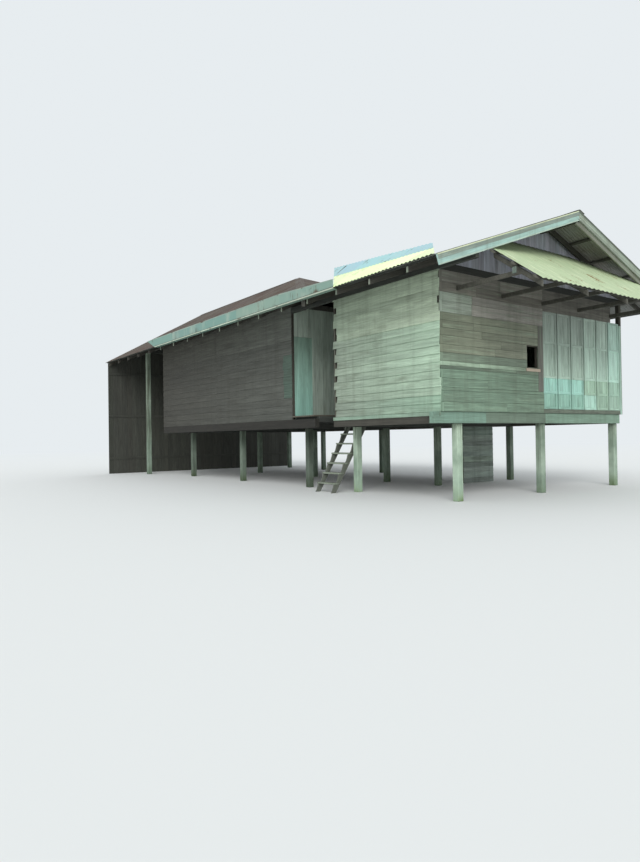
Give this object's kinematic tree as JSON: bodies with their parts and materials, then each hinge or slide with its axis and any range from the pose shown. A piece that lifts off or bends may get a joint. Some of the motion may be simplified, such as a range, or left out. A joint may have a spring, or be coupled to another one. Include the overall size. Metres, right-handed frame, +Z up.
{
  "type": "stilt house",
  "caption": "Timber house raised on concrete posts: gabled front room with a sloping canopy, open landing with a steep stair, long rear room, sheet-metal roofs.",
  "frame": {"origin": "on the ground, at the middle of the foot of the near left corner post", "axes": "+X along the gabled front to its right end, +Y from the front to the back, +Z up"},
  "size_m": [9.25, 20.37, 7.3026],
  "materials": {
    "concrete": "weathered cast concrete, stained",
    "timber_dark": "dark aged timber",
    "timber_brown": "brown aged boards",
    "timber_black": "near-black boards",
    "timber_grey": "pale grey weathered boards",
    "timber_floor": "worn floor boards",
    "timber_tan": "tan planed board",
    "panel_wood": "grey-green weathered boards",
    "door_teal": "faded blue-green paint",
    "stair_wood": "pale weathered timber",
    "sheet_rust": "rusted corrugated sheet",
    "sheet_cream": "cream-yellow corrugated sheet, stained",
    "sheet_zinc": "pale grey-green folded sheet metal",
    "barge_paint": "pale grey-green boards, brown stained upper half"
  },
  "bodies": {
    "root": {"concrete_posts": "concrete", "tall_posts": "concrete", "front_beam": "timber_dark", "cross_beams": "timber_dark", "side_beams": "timber_dark", "floor_joists": "timber_dark", "front_floor": "timber_floor", "landing_floor": "timber_floor", "rear_floor": "timber_floor", "left_wall": "timber_grey", "front_wall": "timber_grey", "window_board": "timber_tan", "folding_panels": "panel_wood", "panel_frame": "timber_dark", "right_wall": "timber_grey", "back_wall": "timber_grey", "front_gable": "timber_dark", "rear_left_wall": "timber_brown", "rear_right_wall": "timber_brown", "rear_front_wall": "timber_grey", "rear_door": "door_teal", "rear_back_wall": "timber_brown", "rear_end_wall": "timber_black", "low_wall": "timber_brown", "wall_plates": "timber_dark", "tie_beams": "timber_dark", "ridge_beams": "timber_dark", "front_rafters": "timber_dark", "rear_rafters": "timber_dark", "hip_beams": "timber_dark", "front_purlins": "timber_dark", "rear_purlins": "timber_dark", "front_roof_left": "sheet_zinc", "front_roof_right": "sheet_zinc", "rear_roof_left": "sheet_rust", "rear_roof_right": "sheet_rust", "hip_roof": "sheet_rust", "ridge_caps": "sheet_zinc", "barge_boards": "barge_paint", "eave_battens": "timber_dark", "eave_sheets": "sheet_cream", "upper_sheets": "sheet_zinc", "gutter": "sheet_zinc", "canopy_sheet": "sheet_cream", "canopy_frame": "timber_dark", "stair_strings": "stair_wood", "stair_treads": "stair_wood"}
  },
  "joints": []
}
